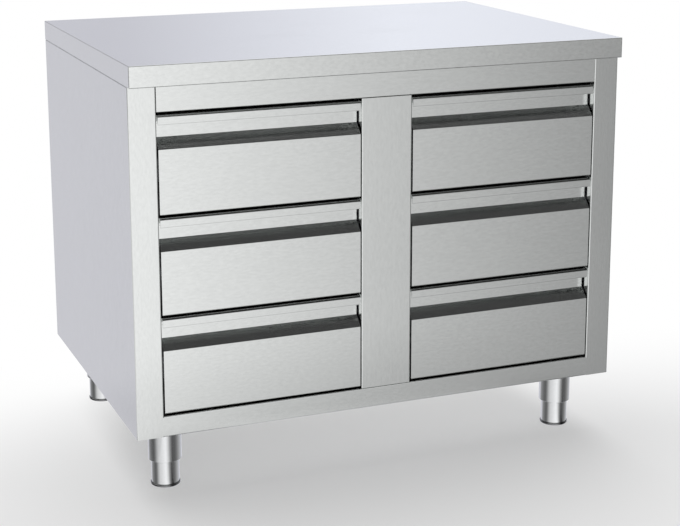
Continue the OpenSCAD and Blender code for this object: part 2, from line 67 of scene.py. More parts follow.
class Wiring:
    """Adds shader nodes to one tree and joins them."""

    def __init__(self, tree: bpy.types.NodeTree) -> None:
        """Keeps the tree that the nodes go into."""
        self.tree = tree

    def node(self, kind: str, **settings: object) -> bpy.types.Node:
        """Adds a node.

        Args:
            kind: Blender's name of the node type.
            settings: Properties to set on the node.

        Returns:
            The new node.
        """
        made = self.tree.nodes.new(kind)
        for name, value in settings.items():
            setattr(made, name, value)
        return made

    def feed(self, socket: Socket, source: Source) -> None:
        """Joins a socket to another, or sets its plain value.

        Args:
            socket: The socket that is fed.
            source: Another socket, or a plain value. A plain colour has three numbers.
        """
        if isinstance(source, bpy.types.NodeSocket):
            self.tree.links.new(source, socket)
        elif socket.type == "RGBA":
            socket.default_value = (*source, 1.0)
        else:
            socket.default_value = source

    def coordinates(self, kind: str) -> Socket:
        """Gives the socket of one kind of texture coordinates."""
        return self.node("ShaderNodeTexCoord").outputs[kind]

    def axes(self, source: Socket) -> Tuple[Socket, ...]:
        """Splits a vector.

        Args:
            source: The vector.

        Returns:
            The sockets of its X, Y and Z.
        """
        split = self.node("ShaderNodeSeparateXYZ")
        self.feed(split.inputs[0], source)
        return tuple(split.outputs)

    def maths(self, operation: str, *sources: Source, clamp: bool = False) -> Socket:
        """Works out a number from one, two or three others.

        Args:
            operation: Name of the Math node's operation.
            sources: Sockets or plain numbers.
            clamp: Whether the result stays between 0 and 1.

        Returns:
            The result's socket.
        """
        made = self.node("ShaderNodeMath", operation=operation, use_clamp=clamp)
        for socket, source in zip(made.inputs, sources):
            self.feed(socket, source)
        return made.outputs[0]

    def product(self, first: Source, *others: Source) -> Socket:
        """Multiplies numbers.

        Args:
            first: The first number.
            others: The numbers that it is multiplied by.

        Returns:
            The result's socket.
        """
        for other in others:
            first = self.maths("MULTIPLY", first, other)
        return first

    def swing(self, noise: Socket, amount: Source) -> Socket:
        """Makes a noise swing either side of nought.

        Args:
            noise: Noise or lines from 0 to 1.
            amount: How strong the swing is.

        Returns:
            The result's socket.
        """
        return self.maths("MULTIPLY", self.maths("SUBTRACT", noise, NOISE_MIDDLE), amount)

    def vector(self, operation: str, *sources: Source) -> Socket:
        """Works out a vector from two others.

        Args:
            operation: Name of the Vector Math node's operation.
            sources: Sockets or plain vectors.

        Returns:
            The result's socket.
        """
        made = self.node("ShaderNodeVectorMath", operation=operation)
        for socket, source in zip(made.inputs, sources):
            self.feed(socket, source)
        return made.outputs["Vector"]

    def spread(self, source: Source, low: float, high: float, start: float = 0.0, end: float = 1.0,
               smooth: bool = True) -> Socket:
        """Maps a number from one range to another and holds it there.

        Args:
            source: The number.
            low: Its value that becomes start.
            high: Its value that becomes end.
            start: Result at low.
            end: Result at high.
            smooth: Whether the change eases in and out.

        Returns:
            The result's socket.
        """
        made = self.node("ShaderNodeMapRange", interpolation_type="SMOOTHSTEP" if smooth else "LINEAR")
        for name, value in zip(("Value", "From Min", "From Max", "To Min", "To Max"),
                               (source, low, high, start, end)):
            self.feed(made.inputs[name], value)
        return made.outputs["Result"]

    def noise(self, place: Source, scale: float, detail: float = 2.0, rough: float = 0.5) -> Socket:
        """Adds smooth noise from 0 to 1.

        Args:
            place: Coordinates.
            scale: Waves per unit of the coordinates.
            detail: How many finer layers it has.
            rough: How strong the finer layers are.

        Returns:
            The noise's socket.
        """
        made = self.node("ShaderNodeTexNoise")
        self.feed(made.inputs["Vector"], place)
        for name, value in (("Scale", scale), ("Detail", detail), ("Roughness", rough)):
            made.inputs[name].default_value = value
        return made.outputs["Fac"]

    def cells(self, place: Source, scale: Source) -> Tuple[Socket, ...]:
        """Splits space into uneven cells.

        Args:
            place: Coordinates.
            scale: Cells per unit of the coordinates.

        Returns:
            The sockets of three numbers that each cell has of its own.
        """
        made = self.node("ShaderNodeTexVoronoi", feature="F1")
        self.feed(made.inputs["Vector"], place)
        self.feed(made.inputs["Scale"], scale)
        split = self.node("ShaderNodeSeparateColor")
        self.feed(split.inputs["Color"], made.outputs["Color"])
        return tuple(split.outputs)

    def blend(self, amount: Source, first: Source, second: Source) -> Socket:
        """Mixes two colours.

        Args:
            amount: 0 for the first colour, 1 for the second.
            first: First colour.
            second: Second colour.

        Returns:
            The mixed colour's socket.
        """
        made = self.node("ShaderNodeMix", data_type="RGBA")
        self.feed(made.inputs["Factor"], amount)
        colour_inputs = [s for s in made.inputs if s.type == "RGBA"]
        for socket, source in zip(colour_inputs, (first, second)):
            self.feed(socket, source)
        return next(s for s in made.outputs if s.type == "RGBA")

    def shaded(self, colour: Source, tone: Socket) -> Socket:
        """Multiplies a colour or a vector by a number.

        Args:
            colour: The colour.
            tone: The number.

        Returns:
            The result's socket.
        """
        made = self.node("ShaderNodeVectorMath", operation="SCALE")
        self.feed(made.inputs[0], colour)
        self.feed(made.inputs["Scale"], tone)
        return made.outputs["Vector"]


class Kind(Enum):
    """What an effect's socket carries."""

    NUMBER = "NodeSocketFloat"
    VECTOR = "NodeSocketVector"
    COLOUR = "NodeSocketColor"


@dataclass(frozen=True)
class EffectSocket:
    """One named input or output of an effect."""

    name: str
    kind: Kind
    value: object = None


class Effect:
    """Pattern that materials share, as a shader node group."""

    name: ClassVar[str]
    inputs: ClassVar[Tuple[EffectSocket, ...]]
    outputs: ClassVar[Tuple[EffectSocket, ...]]

    def group(self) -> bpy.types.ShaderNodeTree:
        """Builds the node group once, and finds it again afterwards.

        Returns:
            The node group.
        """
        if self.name in bpy.data.node_groups:
            return bpy.data.node_groups[self.name]
        group = bpy.data.node_groups.new(self.name, "ShaderNodeTree")
        for way, sockets in (("INPUT", self.inputs), ("OUTPUT", self.outputs)):
            for socket in sockets:
                made = group.interface.new_socket(socket.name, in_out=way, socket_type=socket.kind.value)
                if socket.value is not None:
                    made.default_value = socket.value
        wiring = Wiring(group)
        start = wiring.node("NodeGroupInput")
        end = wiring.node("NodeGroupOutput")
        results = self.draw(wiring, {s.name: start.outputs[s.name] for s in self.inputs})
        for output, source in results.items():
            wiring.feed(end.inputs[output], source)
        return group

    def draw(self, wiring: Wiring, given: Dict[str, Socket]) -> Dict[str, Socket]:
        """Adds the pattern's nodes.

        Args:
            wiring: Wiring of the node group.
            given: The input sockets by name.

        Returns:
            The socket that feeds each output, by the output's name.
        """
        raise NotImplementedError


SHEET_OUTPUTS = (EffectSocket("Colour", Kind.COLOUR), EffectSocket("Roughness", Kind.NUMBER),
                 EffectSocket("Height", Kind.NUMBER))


@dataclass(frozen=True)
class BrushedGrain(Effect):
    """Brush lines of satin steel, over slow clouds and a fine mottle in its sheen."""

    name: ClassVar[str] = "brushed_grain"
    inputs: ClassVar[Tuple[EffectSocket, ...]] = (
        EffectSocket("Position", Kind.VECTOR), EffectSocket("Shift", Kind.VECTOR),
        EffectSocket("Waves", Kind.VECTOR, (40.0, 1600.0, 1600.0)),
        EffectSocket("Dots", Kind.VECTOR, (240.0, 100.0, 240.0)),
        EffectSocket("Mottling", Kind.NUMBER, 0.1), EffectSocket("Tint", Kind.COLOUR, (0.8, 0.8, 0.8, 1.0)),
        EffectSocket("Contrast", Kind.NUMBER, 0.1), EffectSocket("Clouding", Kind.NUMBER, 0.05),
        EffectSocket("Roughness", Kind.NUMBER, 0.3))
    outputs: ClassVar[Tuple[EffectSocket, ...]] = SHEET_OUTPUTS
    fine_share: float = 0.62
    broad_share: float = 0.38
    broad_waves: float = 0.13
    cloud_waves: float = 4.5
    line_dulling: float = 0.45
    cloud_dulling: float = 0.8

    def draw(self, wiring: Wiring, given: Dict[str, Socket]) -> Dict[str, Socket]:
        """Lays fine lines over broad ones, with the mottle and the clouds.

        Args:
            wiring: Wiring of the node group.
            given: The input sockets by name.

        Returns:
            The sheet's colour, roughness and height.
        """
        place = wiring.vector("ADD", given["Position"], given["Shift"])
        stretched = wiring.vector("MULTIPLY", place, given["Waves"])
        fine = wiring.noise(stretched, 1.0, detail=3.0, rough=0.6)
        broad = wiring.noise(stretched, self.broad_waves, detail=2.0)
        clouds = wiring.noise(place, self.cloud_waves, detail=2.0)
        dots = wiring.noise(wiring.vector("MULTIPLY", place, given["Dots"]), 1.0, detail=1.0)
        lines = wiring.maths("ADD", wiring.product(fine, self.fine_share),
                             wiring.product(broad, self.broad_share))
        drawn = wiring.swing(lines, given["Contrast"])
        mottled = wiring.maths("ADD", wiring.swing(dots, given["Mottling"]), drawn)
        drift = wiring.swing(clouds, given["Clouding"])
        tone = wiring.maths("ADD", wiring.maths("ADD", mottled, drift), 1.0)
        dulled = wiring.maths("MULTIPLY_ADD", drawn, self.line_dulling, given["Roughness"])
        rough = wiring.maths("MULTIPLY_ADD", drift, self.cloud_dulling, dulled, clamp=True)
        return {"Colour": wiring.shaded(given["Tint"], tone), "Roughness": rough, "Height": lines}


@dataclass(frozen=True)
class HandlingMarks(Effect):
    """Faint wipe marks and hairline scratches of a sheet in use."""

    name: ClassVar[str] = "handling_marks"
    inputs: ClassVar[Tuple[EffectSocket, ...]] = (
        EffectSocket("Position", Kind.VECTOR), EffectSocket("Amount", Kind.NUMBER, 0.3))
    outputs: ClassVar[Tuple[EffectSocket, ...]] = (EffectSocket("Marks", Kind.NUMBER),)
    patch_waves: float = 7.0
    patch_edge: Span = (0.52, 0.74)
    patch_strength: float = 0.6
    scratch_turns: Tuple[Triple, ...] = ((0.6, 0.5, 0.3), (-0.4, 0.7, 0.6))
    scratch_waves: Triple = (9.0, 420.0, 420.0)
    scratch_edge: Span = (0.70, 0.76)

    def draw(self, wiring: Wiring, given: Dict[str, Socket]) -> Dict[str, Socket]:
        """Joins wiped patches and a few crossing hairlines.

        Args:
            wiring: Wiring of the node group.
            given: The input sockets by name.

        Returns:
            The marks as a mask from 0 to 1.
        """
        wiped = wiring.noise(given["Position"], self.patch_waves, detail=4.0, rough=0.6)
        mask = wiring.product(wiring.spread(wiped, *self.patch_edge), self.patch_strength)
        for turn in self.scratch_turns:
            bent = wiring.node("ShaderNodeVectorRotate", rotation_type="EULER_XYZ")
            wiring.feed(bent.inputs["Vector"], given["Position"])
            wiring.feed(bent.inputs["Rotation"], turn)
            drawn = wiring.vector("MULTIPLY", bent.outputs["Vector"], self.scratch_waves)
            hairline = wiring.spread(wiring.noise(drawn, 1.0, detail=1.0), *self.scratch_edge)
            mask = wiring.maths("MAXIMUM", mask, hairline)
        return {"Marks": wiring.maths("MULTIPLY", mask, given["Amount"], clamp=True)}


@dataclass(frozen=True)
class ZincSpangle(Effect):
    """Crystals of a galvanised sheet."""

    name: ClassVar[str] = "zinc_spangle"
    inputs: ClassVar[Tuple[EffectSocket, ...]] = (
        EffectSocket("Position", Kind.VECTOR), EffectSocket("Crystals", Kind.NUMBER, 70.0),
        EffectSocket("Tint", Kind.COLOUR, (0.6, 0.6, 0.6, 1.0)),
        EffectSocket("Roughness", Kind.NUMBER, 0.35))
    outputs: ClassVar[Tuple[EffectSocket, ...]] = SHEET_OUTPUTS
    warp_waves: float = 90.0
    warp: Triple = (0.004, 0.003, 0.004)
    dust_waves: float = 420.0
    dust_tone: float = 0.08
    darkest: float = 0.86
    crystal_tone: float = 0.22
    crystal_dulling: float = 0.16

    def draw(self, wiring: Wiring, given: Dict[str, Socket]) -> Dict[str, Socket]:
        """Shades each crystal by itself and dulls them unevenly.

        Args:
            wiring: Wiring of the node group.
            given: The input sockets by name.

        Returns:
            The sheet's colour, roughness and height.
        """
        moved = wiring.shaded(self.warp, wiring.noise(given["Position"], self.warp_waves))
        warped = wiring.vector("ADD", given["Position"], moved)
        own_tone, own_dulling, _ = wiring.cells(warped, given["Crystals"])
        dust = wiring.noise(given["Position"], self.dust_waves, detail=2.0)
        shade = wiring.maths("MULTIPLY_ADD", own_tone, self.crystal_tone, self.darkest)
        tone = wiring.maths("MULTIPLY_ADD", dust, self.dust_tone, shade)
        rough = wiring.maths("MULTIPLY_ADD", own_dulling, self.crystal_dulling, given["Roughness"])
        return {"Colour": wiring.shaded(given["Tint"], tone), "Roughness": rough, "Height": dust}


@dataclass(frozen=True)
class PressedChips(Effect):
    """Wood chips pressed into a board."""

    name: ClassVar[str] = "pressed_chips"
    inputs: ClassVar[Tuple[EffectSocket, ...]] = (
        EffectSocket("Position", Kind.VECTOR), EffectSocket("Tint", Kind.COLOUR, (0.62, 0.47, 0.3, 1.0)),
        EffectSocket("Resin", Kind.COLOUR, (0.36, 0.24, 0.13, 1.0)))
    outputs: ClassVar[Tuple[EffectSocket, ...]] = (
        EffectSocket("Colour", Kind.COLOUR), EffectSocket("Height", Kind.NUMBER))
    chip_waves: Triple = (140.0, 260.0, 420.0)
    dust_waves: float = 900.0
    darkest: float = 0.55
    chip_tone: float = 0.5

    def draw(self, wiring: Wiring, given: Dict[str, Socket]) -> Dict[str, Socket]:
        """Lays long chips over fine dust.

        Args:
            wiring: Wiring of the node group.
            given: The input sockets by name.

        Returns:
            The board's colour and height.
        """
        laid = wiring.vector("MULTIPLY", given["Position"], self.chip_waves)
        own_height, _, own_tone = wiring.cells(laid, 1.0)
        dust = wiring.noise(given["Position"], self.dust_waves, detail=3.0)
        tone = wiring.maths("MULTIPLY_ADD", own_tone, self.chip_tone, self.darkest)
        colour = wiring.blend(dust, wiring.shaded(given["Tint"], tone), given["Resin"])
        return {"Colour": colour, "Height": own_height}


def bare_material(name: str) -> Tuple[bpy.types.Material, Wiring]:
    """Makes a material that has no nodes yet.

    Args:
        name: Name of the material.

    Returns:
        The material and its wiring.
    """
    made = bpy.data.materials.new(name)
    made.use_nodes = True
    made.node_tree.nodes.clear()
    return made, Wiring(made.node_tree)


class Finish:
    """Material of one finish, which is built once."""

    name: str
    made: ClassVar[Dict[str, bpy.types.Material]] = {}

    def start(self) -> Tuple[bpy.types.Material, Wiring, bpy.types.Node, Socket]:
        """Makes a material with a surface and nothing that feeds it.

        Returns:
            The material, its wiring, its surface shader and the object's own coordinates.
        """
        made, wiring = bare_material(self.name)
        surface = wiring.node("ShaderNodeBsdfPrincipled")
        output = wiring.node("ShaderNodeOutputMaterial")
        wiring.feed(output.inputs["Surface"], surface.outputs["BSDF"])
        return made, wiring, surface, wiring.coordinates("Object")

    def raised(self, wiring: Wiring, surface: bpy.types.Node, height: Socket, depth: float) -> None:
        """Turns a height into a normal.

        Args:
            wiring: Wiring of the material.
            surface: Its surface shader.
            height: Height from 0 to 1.
            depth: How deep a height of 1 is, in metres.
        """
        bump = wiring.node("ShaderNodeBump")
        bump.inputs["Distance"].default_value = depth
        wiring.feed(bump.inputs["Height"], height)
        wiring.feed(surface.inputs["Normal"], bump.outputs["Normal"])

    def placed(self, wiring: Wiring, effect: Effect, **given: Source) -> bpy.types.Node:
        """Puts an effect in a material.

        Args:
            wiring: Wiring of the material.
            effect: The effect.
            given: Its inputs by name.

        Returns:
            The effect's node.
        """
        node = wiring.node("ShaderNodeGroup", node_tree=effect.group())
        for name, source in given.items():
            wiring.feed(node.inputs[name], source)
        return node

    def material(self) -> bpy.types.Material:
        """Builds the finish's material once, and finds it again afterwards.

        Returns:
            The material.
        """
        if self.name not in Finish.made:
            Finish.made[self.name] = self.build()
        return Finish.made[self.name]

    def build(self) -> bpy.types.Material:
        """Builds the material."""
        raise NotImplementedError


@dataclass(frozen=True)
class SatinSteel(Finish):
    """Brushed stainless sheet. Its dots, along and across are waves per metre."""

    name: str
    tint: Triple
    roughness: float
    grain: Grain
    contrast: float = 0.07
    clouding: float = 0.05
    marks: float = 0.25
    mark_dulling: float = 0.10
    mottling: float = 0.11
    dots: Span = (90.0, 260.0)
    along: float = 26.0
    across: float = 1500.0
    depth: float = 0.006 * MM
    shift: Triple = (3.1, 1.7, 2.3)

    def build(self) -> bpy.types.Material:
        """Builds the brushed sheet: grain that differs from piece to piece, and dull wipe marks.

        Returns:
            The material.
        """
        made, wiring, surface, place = self.start()
        own = wiring.node("ShaderNodeObjectInfo").outputs["Random"]
        grain = self.placed(wiring, BrushedGrain(), Position=place, Shift=wiring.shaded(self.shift, own),
                            Waves=self.grain.stretch(self.along, self.across), Contrast=self.contrast,
                            Dots=self.grain.stretch(*self.dots), Mottling=self.mottling, Tint=self.tint,
                            Clouding=self.clouding, Roughness=self.roughness)
        marks = self.placed(wiring, HandlingMarks(), Position=place, Amount=self.marks).outputs["Marks"]
        dulled = wiring.maths("MULTIPLY_ADD", marks, self.mark_dulling, grain.outputs["Roughness"])
        wiring.feed(surface.inputs["Base Color"], self.with_painted_shade(wiring, grain.outputs["Colour"]))
        wiring.feed(surface.inputs["Roughness"], dulled)
        wiring.feed(surface.inputs["Metallic"], 1.0)
        self.raised(wiring, surface, grain.outputs["Height"], self.depth)
        return made

    def with_painted_shade(self, wiring: Wiring, colour: Socket) -> Socket:
        """Leaves the sheet's colour as it is, with no painted shade."""
        return colour


@dataclass(frozen=True)
class FrontSteel(SatinSteel):
    """Brushed sheet of a drawer front, with painted shade at its lip's lower edge and on its bevel. Its
    edge and bevel lie at shares of the front's height.
    """

    edge_at: float = 0.9046
    edge_half: float = 0.0038
    edge_core: float = 0.4
    painted_edge_shade: float = 0.72
    bevel_from: float = 0.977
    bevel_ease: float = 0.006
    painted_bevel_shade: float = 0.42

    def with_painted_shade(self, wiring: Wiring, colour: Socket) -> Socket:
        """Paints a dark shade line along the hanging lip's lower edge, and painted shade on the bevel above
        it.

        Args:
            wiring: Wiring of the material.
            colour: Colour of the sheet.

        Returns:
            The colour with this painted shade.
        """
        height = wiring.axes(wiring.coordinates("Generated"))[2]
        off = wiring.maths("ABSOLUTE", wiring.maths("SUBTRACT", height, self.edge_at))
        # painted shade: a thin dark line along the hanging lip's lower edge
        line = wiring.spread(off, self.edge_core * self.edge_half, self.edge_half, self.painted_edge_shade, 1.0)
        # painted shade: the top bevel's colour is darkened
        bevel = wiring.spread(height, self.bevel_from, self.bevel_from + self.bevel_ease, 1.0,
                              self.painted_bevel_shade)
        return wiring.shaded(colour, wiring.product(line, bevel))


@dataclass(frozen=True)
class PolishedSteel(Finish):
    """Polished tube with fine rings round it. Its waves are per metre."""

    name: str
    tint: Triple
    roughness: float
    waves: Triple = (9.0, 9.0, 1900.0)
    contrast: float = 0.07
    mottling: float = 0.06
    clouding: float = 0.06
    marks: float = 0.35
    mark_dulling: float = 0.12
    base_top: float = 5.3 * MM
    base_ease: float = 0.4 * MM
    painted_base_shade: float = 0.27
    depth: float = 0.004 * MM

    def build(self) -> bpy.types.Material:
        """Builds the polished tube: rings across its axis, faint wipe marks, and painted shade on its base.

        Returns:
            The material.
        """
        made, wiring, surface, place = self.start()
        grain = self.placed(wiring, BrushedGrain(), Position=place, Tint=self.tint, Waves=self.waves,
                            Contrast=self.contrast, Mottling=self.mottling, Clouding=self.clouding,
                            Roughness=self.roughness)
        marks = self.placed(wiring, HandlingMarks(), Position=place, Amount=self.marks).outputs["Marks"]
        dulled = wiring.maths("MULTIPLY_ADD", marks, self.mark_dulling, grain.outputs["Roughness"])
        height = wiring.axes(place)[2]
        # painted shade: the lowest few millimetres are darkened, standing in for the contact shadow and the
        # dark gap the base mirrors
        tone = wiring.spread(height, self.base_top, self.base_top + self.base_ease, self.painted_base_shade, 1.0)
        wiring.feed(surface.inputs["Base Color"], wiring.shaded(grain.outputs["Colour"], tone))
        wiring.feed(surface.inputs["Roughness"], dulled)
        wiring.feed(surface.inputs["Metallic"], 1.0)
        self.raised(wiring, surface, grain.outputs["Height"], self.depth)
        return made


@dataclass(frozen=True)
class ZincSheet(Finish):
    """Galvanised sheet. Its crystals are counted per metre."""

    name: str
    tint: Triple
    roughness: float
    crystals: float = 70.0
    depth: float = 0.01 * MM

    def build(self) -> bpy.types.Material:
        """Builds the galvanised sheet.

        Returns:
            The material.
        """
        made, wiring, surface, place = self.start()
        spangle = self.placed(wiring, ZincSpangle(), Position=place, Crystals=self.crystals,
                              Tint=self.tint, Roughness=self.roughness)
        wiring.feed(surface.inputs["Base Color"], spangle.outputs["Colour"])
        wiring.feed(surface.inputs["Roughness"], spangle.outputs["Roughness"])
        wiring.feed(surface.inputs["Metallic"], 1.0)
        self.raised(wiring, surface, spangle.outputs["Height"], self.depth)
        return made


@dataclass(frozen=True)
class ChipBoard(Finish):
    """Raw board of pressed chips."""

    name: str
    tint: Triple
    roughness: float = 0.85
    depth: float = 0.12 * MM

    def build(self) -> bpy.types.Material:
        """Builds the board.

        Returns:
            The material.
        """
        made, wiring, surface, place = self.start()
        chips = self.placed(wiring, PressedChips(), Position=place, Tint=self.tint)
        wiring.feed(surface.inputs["Base Color"], chips.outputs["Colour"])
        wiring.feed(surface.inputs["Roughness"], self.roughness)
        self.raised(wiring, surface, chips.outputs["Height"], self.depth)
        return made


@dataclass(frozen=True)
class MouldedNylon(Finish):
    """Matt moulded plastic. Its waves are per metre."""

    name: str
    tint: Triple
    roughness: float = 0.45
    waves: float = 1400.0
    darkest: float = 0.85
    grain_tone: float = 0.3
    grain_dulling: float = 0.2
    depth: float = 0.03 * MM

    def build(self) -> bpy.types.Material:
        """Builds the plastic, with the fine grain of its mould.

        Returns:
            The material.
        """
        made, wiring, surface, place = self.start()
        grain = wiring.noise(place, self.waves, detail=2.0)
        tone = wiring.maths("MULTIPLY_ADD", grain, self.grain_tone, self.darkest)
        dulled = wiring.maths("MULTIPLY_ADD", grain, self.grain_dulling, self.roughness)
        wiring.feed(surface.inputs["Base Color"], wiring.shaded(self.tint, tone))
        wiring.feed(surface.inputs["Roughness"], dulled)
        self.raised(wiring, surface, grain, self.depth)
        return made


STAINLESS = (0.775, 0.79, 0.782)

WORKTOP_STEEL = SatinSteel("worktop_steel", (0.785, 0.80, 0.792), 0.19, Grain.ALONG_X, marks=0.5,
                           mottling=0.14, dots=(110.0, 190.0))
PANEL_STEEL = SatinSteel("panel_steel", STAINLESS, 0.18, Grain.ALONG_Z)
RAIL_STEEL = SatinSteel("rail_steel", STAINLESS, 0.18, Grain.ALONG_X)
FRONT_STEEL = FrontSteel("front_steel", STAINLESS, 0.19, Grain.ALONG_X, contrast=0.05, clouding=0.02,
                         marks=0.05, mottling=0.13, depth=0.0015 * MM)
BOX_STEEL = SatinSteel("box_steel", (0.74, 0.75, 0.755), 0.55, Grain.ALONG_Y, marks=0.6)
GALVANISED = ZincSheet("galvanised", (0.60, 0.62, 0.64), 0.36)
RUNNER_ZINC = ZincSheet("runner_zinc", (0.66, 0.67, 0.69), 0.24, crystals=240.0)
LEG_STEEL = PolishedSteel("leg_steel", (0.80, 0.81, 0.82), 0.12)
BOARD = ChipBoard("board", (0.62, 0.47, 0.30))
NYLON = MouldedNylon("nylon", (0.08, 0.08, 0.085))


def dress(nodes: Iterable[str], finish: Finish) -> None:
    """Gives pieces of the table their finish.

    Args:
        nodes: Names of the pieces' nodes.
        finish: What they are finished in.
    """
    for name in nodes:
        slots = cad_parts[name].data.materials
        slots.clear()
        slots.append(finish.material())
        LOG.info("%s dressed in %s", name, finish.name)


@dataclass
class Worktop:
    """Folded worktop with its board and stiffening channels."""

    sheet: Finish = WORKTOP_STEEL
    core: Finish = BOARD
    stiffener: Finish = GALVANISED

    def build(self) -> None:
        """Dresses the three pieces."""
        dress(["worktop"], self.sheet)
        dress(["worktop_board"], self.core)
        dress(["worktop_channels"], self.stiffener)


@dataclass
class Cabinet:
    """Closed cabinet under the worktop."""

    sides: Finish = PANEL_STEEL
    rails: Finish = RAIL_STEEL
    plates: Finish = GALVANISED

    def build(self) -> None:
        """Dresses the panels, the front frame and the hidden runner plates."""
        dress(["side_panel_left", "side_panel_right", "centre_post"], self.sides)
        dress(["top_rail", "bottom_rail", "back_panel", "floor_tray", "back_rivets"], self.rails)
        dress([f"runner_plate_{s}_{p}" for s in SIDES for p in ("outer", "inner")], self.plates)


@dataclass
class DrawerBank:
    """Six drawers and their telescopic runners."""

    fronts: Finish = FRONT_STEEL
    boxes: Finish = BOX_STEEL
    runners: Finish = RUNNER_ZINC

    def build(self) -> None:
        """Dresses the drawers, the runner members and the runners' rivets."""
        for side in SIDES:
            for row in ROWS:
                dress([f"drawer_front_{side}_{row}"], self.fronts)
                dress([f"drawer_box_{side}_{row}"], self.boxes)
                dress([f"runner_{m}_{side}_{row}" for m in ("inner", "middle", "fixed")], self.runners)
        dress(["runner_rivets"], self.runners)


@dataclass
class Legs:
    """Four adjustable legs."""

    tubes: Finish = LEG_STEEL
    fittings: Finish = RUNNER_ZINC
    rings: Finish = NYLON

    def build(self) -> None:
        """Dresses the sleeves, feet, bosses, guide rings and screws."""
        for end in ENDS:
            for side in SIDES:
                dress([f"leg_{end}_{side}", f"foot_{end}_{side}"], self.tubes)
        dress(["leg_bosses", "leg_screws"], self.fittings)
        dress(["leg_guide_rings"], self.rings)


@dataclass
class Viewpoint:
    """Camera that stands where the photograph was taken. Its lens and film are in millimetres."""

    place: Triple = (-1.20357, -3.08622, 1.25282)
    aim: Triple = (-0.07222, -0.335, 0.59549)
    lens: float = 85.726
    film: float = 36.0
    shift: Span = (-0.01723, -0.13122)
    reach: float = 100.0

    def build(self) -> None:
        """Makes the camera and gives it to the scene."""
        data = bpy.data.cameras.new("photo_camera")
        data.lens = self.lens
        data.sensor_width = self.film
        data.shift_x, data.shift_y = self.shift
        data.clip_end = self.reach
        camera = bpy.data.objects.new("photo_camera", data)
        camera.location = self.place
        looks = Vector(self.aim) - Vector(self.place)
        camera.rotation_euler = looks.to_track_quat("-Z", "Y").to_euler()
        bpy.context.scene.collection.objects.link(camera)
        bpy.context.scene.camera = camera
        bpy.context.scene.view_settings.view_transform = "Standard"


@dataclass(frozen=True)
class RoomSide:
    """What the steel mirrors in one direction round the room, in degrees from the front."""

    turn: float
    tone: float
    blue: float = 0.0
    violet: float = 0.0
    blue_cast: ClassVar[Triple] = (-0.045, -0.015, 0.075)
    violet_cast: ClassVar[Triple] = (0.0, -0.02, 0.0)

    def place(self) -> float:
        """Gives its place on a ramp that goes once round the room, from the back to the back."""
        return self.turn / 360.0 + 0.5

    def colour(self) -> Tuple[float, ...]:
        """Gives the tone with its cast, as an opaque colour."""
        casts = zip(self.blue_cast, self.violet_cast)
        return tuple(self.tone * (1.0 + self.blue * b + self.violet * v) for b, v in casts) + (1.0,)


ROOM_SIDES = (
    RoomSide(-180.0, 0.70, 0.55, 1.2), RoomSide(-160.0, 0.71, 0.55, 1.2), RoomSide(-150.0, 0.44, 0.4),
    RoomSide(-139.0, 0.29, 0.2), RoomSide(-115.0, 0.17), RoomSide(-98.0, 0.12), RoomSide(-85.0, 0.24),
    RoomSide(-71.0, 0.53), RoomSide(-59.0, 0.74), RoomSide(-42.0, 0.83), RoomSide(-15.0, 1.02),
    RoomSide(7.0, 1.15), RoomSide(14.5, 1.095), RoomSide(18.0, 0.88), RoomSide(22.0, 0.715),
    RoomSide(27.0, 0.55), RoomSide(31.5, 0.38), RoomSide(40.0, 0.12), RoomSide(56.0, 0.12),
    RoomSide(72.0, 0.20), RoomSide(86.0, 0.32), RoomSide(112.0, 0.52, 0.3),
    RoomSide(140.0, 0.66, 0.9, 0.5), RoomSide(149.0, 0.90, 0.9, 0.5), RoomSide(156.0, 0.97, 0.9, 0.4),
    RoomSide(166.0, 0.65, 0.8, 1.3), RoomSide(180.0, 0.70, 0.6, 1.2),
)


@dataclass
class Ground:
    """Round sheet on the floor round the table."""

    name: ClassVar[str]
    radius: float
    segments: ClassVar[int] = 96

    def material(self) -> bpy.types.Material:
        """Makes the sheet's material."""
        raise NotImplementedError

    def lay(self) -> bpy.types.Object:
        """Lays the sheet on the floor.

        Returns:
            The sheet.
        """
        mesh = bpy.data.meshes.new(self.name)
        shape = bmesh.new()
        bmesh.ops.create_circle(shape, cap_ends=True, radius=self.radius, segments=self.segments)
        shape.to_mesh(mesh)
        shape.free()
        mesh.materials.append(self.material())
        sheet = bpy.data.objects.new(self.name, mesh)
        bpy.context.scene.collection.objects.link(sheet)
        sheet.visible_shadow = False
        return sheet

    def glowing(self, wiring: Wiring, surface: bpy.types.Node, strength: Socket) -> None:
        """Adds a glow to a surface, and gives both to the material's output.

        Args:
            wiring: Wiring of the material.
            surface: Shader of the surface.
            strength: Strength of the glow.
        """
        glow = wiring.node("ShaderNodeEmission")
        wiring.feed(glow.inputs["Strength"], strength)
        both = wiring.node("ShaderNodeAddShader")
        wiring.feed(both.inputs[0], surface.outputs[0])
        wiring.feed(both.inputs[1], glow.outputs[0])
        output = wiring.node("ShaderNodeOutputMaterial")
        wiring.feed(output.inputs["Surface"], both.outputs[0])


